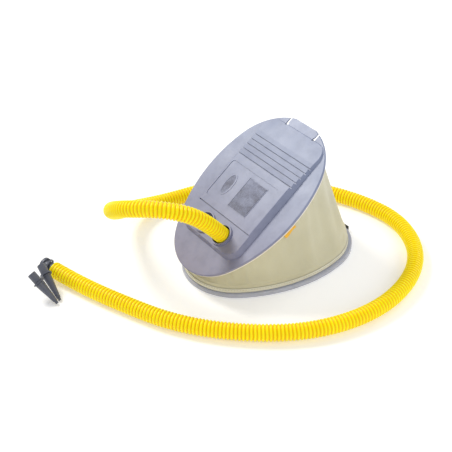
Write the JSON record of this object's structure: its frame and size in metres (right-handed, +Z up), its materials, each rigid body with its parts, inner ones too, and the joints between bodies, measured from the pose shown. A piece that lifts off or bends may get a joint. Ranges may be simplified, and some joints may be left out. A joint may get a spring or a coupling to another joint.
{
  "type": "bellows foot pump",
  "caption": "Oval bellows foot pump: hinged treadle on a base plate, fabric bellows, corrugated hose and push-in nozzles on a strap.",
  "frame": {"origin": "centre of the base plate's underside, on the floor", "axes": "+X from the hinge end towards the opening end, +Y to the left across the pump, +Z up"},
  "size_m": [0.5724, 0.4365, 0.2024],
  "materials": {
    "grey_plastic": "fine moulded grain, satin",
    "steel": "zinc plated",
    "spring_steel": "oiled",
    "valve_plastic": "satin black",
    "valve_rubber": "soft matt",
    "bellows_fabric": "coated woven fabric, slight sheen",
    "tag_fabric": "woven tape",
    "hose_yellow": "semi-gloss corrugated",
    "cuff_black": "matt",
    "nozzle_grey": "satin"
  },
  "bodies": {
    "base": {"base_plate": "grey_plastic", "closing_band": "cuff_black", "base_hoop": "steel", "base_hinge_bracket": "steel", "base_bracket_screws": "steel", "hinge_pin": "steel", "pin_clips": "steel", "return_spring_left": "spring_steel", "return_spring_right": "spring_steel", "bellows": "bellows_fabric", "hose": "hose_yellow", "hose_connector": "nozzle_grey", "nozzle_strap": "nozzle_grey", "nozzle_narrow": "nozzle_grey", "nozzle_wide": "nozzle_grey"},
    "treadle": {"treadle_plate": "grey_plastic", "treadle_hoop": "steel", "treadle_hinge_bracket": "steel", "treadle_bracket_screws": "steel", "outlet_valve_seat": "valve_plastic", "intake_valve_cage": "valve_plastic", "intake_valve_seat": "valve_plastic", "valve_screws": "steel", "hose_cuff": "cuff_black", "seam_tag": "tag_fabric"},
    "outlet_disc": {"outlet_valve_disc": "valve_rubber"},
    "intake_disc": {"intake_valve_disc": "valve_rubber"}
  },
  "joints": [
    {"name": "treadle_press", "type": "hinge", "parent": "base", "child": "treadle", "pos_m": [-0.1128, 0, 0.0264], "axis": [0, 1, 0], "range_deg": [0, 36], "stiffness_Nm_per_rad": 4, "springref_deg": -28.65, "deforming": ["bellows", "hose", "return_spring_left", "return_spring_right"]},
    {"name": "outlet_lift", "type": "slide", "parent": "treadle", "child": "outlet_disc", "axis": [-0.6053, 0, 0.796], "range_m": [0, 0.003]},
    {"name": "intake_lift", "type": "slide", "parent": "treadle", "child": "intake_disc", "axis": [-0.6053, 0, 0.796], "range_m": [0, 0.0026]}
  ]
}
